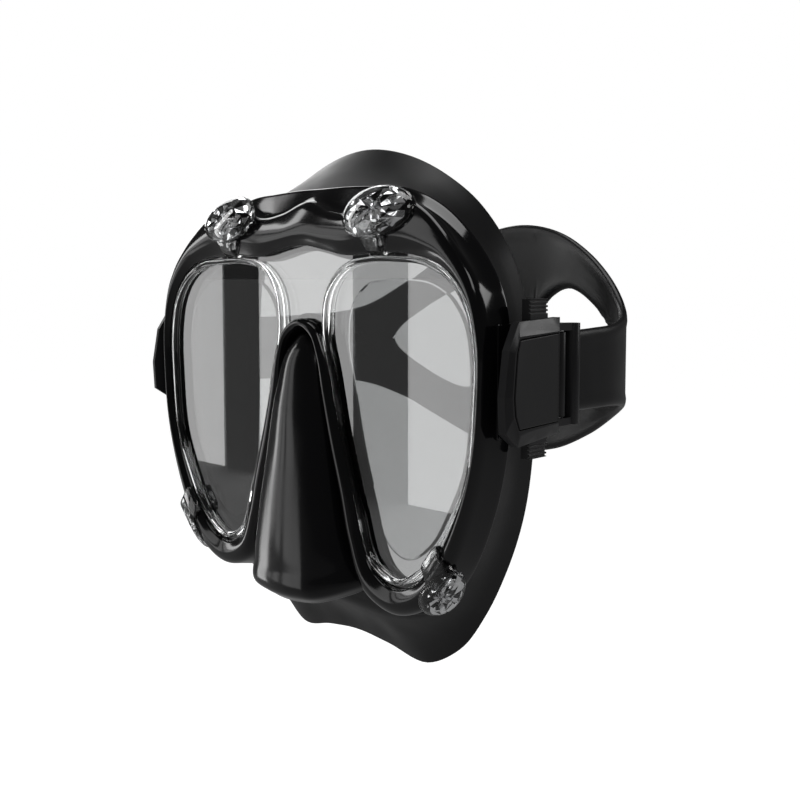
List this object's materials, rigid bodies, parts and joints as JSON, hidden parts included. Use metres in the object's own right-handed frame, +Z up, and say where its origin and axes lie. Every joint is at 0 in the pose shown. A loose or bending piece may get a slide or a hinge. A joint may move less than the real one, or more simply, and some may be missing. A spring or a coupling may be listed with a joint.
{
  "type": "diving mask",
  "caption": "Diving mask with a notched glass pane in a rigid frame, soft face seal with nose pocket, clear rings and clips, and a split head strap on swivelling push-button buckles.",
  "frame": {"origin": "centre of the opening of the face seal, level with the middle of the eye rings", "axes": "+X towards the wearer's left, -Y forwards through the glass, +Z up"},
  "size_m": [0.1496, 0.0881, 0.1309],
  "materials": {
    "frame_plastic": "high gloss black moulded polycarbonate",
    "pane_glass": "clear tempered glass, polished",
    "retainer_plastic": "matt black moulded plastic",
    "skirt_silicone": "satin black liquid silicone",
    "pocket_silicone": "polished black liquid silicone",
    "strap_silicone": "satin black silicone",
    "screw_steel": "stainless steel",
    "reflector_mirror": "vacuum metallised, faceted",
    "clear_plastic": "clear polycarbonate, polished",
    "insert_glass": "clear glass, polished",
    "stud_steel": "stainless steel",
    "buckle_plastic": "satin black acetal",
    "cover_plastic": "satin dark grey acetal",
    "button_plastic": "satin black acetal, ribbed",
    "spring_steel": "drawn stainless wire",
    "roller_plastic": "black acetal",
    "axle_steel": "stainless steel"
  },
  "bodies": {
    "mask": {"frame": "frame_plastic", "lens": "pane_glass", "lens_retainer": "retainer_plastic", "skirt": "skirt_silicone", "nose_pocket": "pocket_silicone", "clip_screws": "screw_steel", "clip_reflectors": "reflector_mirror", "left_lens_ring": "clear_plastic", "left_optical_insert": "insert_glass", "left_top_clip": "clear_plastic", "left_bottom_clip": "clear_plastic", "left_swivel_stud": "stud_steel", "right_lens_ring": "clear_plastic", "right_optical_insert": "insert_glass", "right_top_clip": "clear_plastic", "right_bottom_clip": "clear_plastic", "right_swivel_stud": "stud_steel"},
    "left_buckle": {"left_buckle_body": "buckle_plastic", "left_buckle_cover": "cover_plastic", "left_roller_axle": "axle_steel", "left_top_button_spring": "spring_steel", "left_bottom_button_spring": "spring_steel", "strap": "strap_silicone"},
    "left_top_button": {"left_top_button": "button_plastic"},
    "left_bottom_button": {"left_bottom_button": "button_plastic"},
    "left_strap_roller": {"left_strap_roller": "roller_plastic"},
    "right_buckle": {"right_buckle_body": "buckle_plastic", "right_buckle_cover": "cover_plastic", "right_roller_axle": "axle_steel", "right_top_button_spring": "spring_steel", "right_bottom_button_spring": "spring_steel"},
    "right_top_button": {"right_top_button": "button_plastic"},
    "right_bottom_button": {"right_bottom_button": "button_plastic"},
    "right_strap_roller": {"right_strap_roller": "roller_plastic"}
  },
  "joints": [
    {"name": "left_buckle_swivel", "type": "hinge", "parent": "mask", "child": "left_buckle", "pos_m": [0.0682, -0.0109, 0.011], "axis": [1, 0, 0], "range_deg": [-20, 20]},
    {"name": "right_buckle_swivel", "type": "hinge", "parent": "mask", "child": "right_buckle", "pos_m": [-0.0682, -0.0109, 0.011], "axis": [1, 0, 0], "range_deg": [-20, 20]},
    {"name": "left_top_press", "type": "slide", "parent": "left_buckle", "child": "left_top_button", "axis": [0, 0, -1], "range_m": [0, 0.0015], "stiffness_N_per_m": 900, "springref_m": -0.0006, "deforming": ["left_top_button_spring"]},
    {"name": "left_bottom_press", "type": "slide", "parent": "left_buckle", "child": "left_bottom_button", "axis": [0, 0, 1], "range_m": [0, 0.0015], "stiffness_N_per_m": 900, "springref_m": -0.0006, "deforming": ["left_bottom_button_spring"]},
    {"name": "left_roller_spin", "type": "hinge", "parent": "left_buckle", "child": "left_strap_roller", "pos_m": [0.06726, 0.00094, 0.012], "axis": [0, 0, 1], "continuous": true},
    {"name": "right_top_press", "type": "slide", "parent": "right_buckle", "child": "right_top_button", "axis": [0, 0, -1], "range_m": [0, 0.0015], "stiffness_N_per_m": 900, "springref_m": -0.0006, "deforming": ["right_top_button_spring"]},
    {"name": "right_bottom_press", "type": "slide", "parent": "right_buckle", "child": "right_bottom_button", "axis": [0, 0, 1], "range_m": [0, 0.0015], "stiffness_N_per_m": 900, "springref_m": -0.0006, "deforming": ["right_bottom_button_spring"]},
    {"name": "right_roller_spin", "type": "hinge", "parent": "right_buckle", "child": "right_strap_roller", "pos_m": [-0.06726, 0.00094, 0.012], "axis": [0, 0, 1], "continuous": true}
  ],
  "couplings": [
    {"joint": "right_buckle_swivel", "follows": "left_buckle_swivel", "ratio": 1}
  ]
}
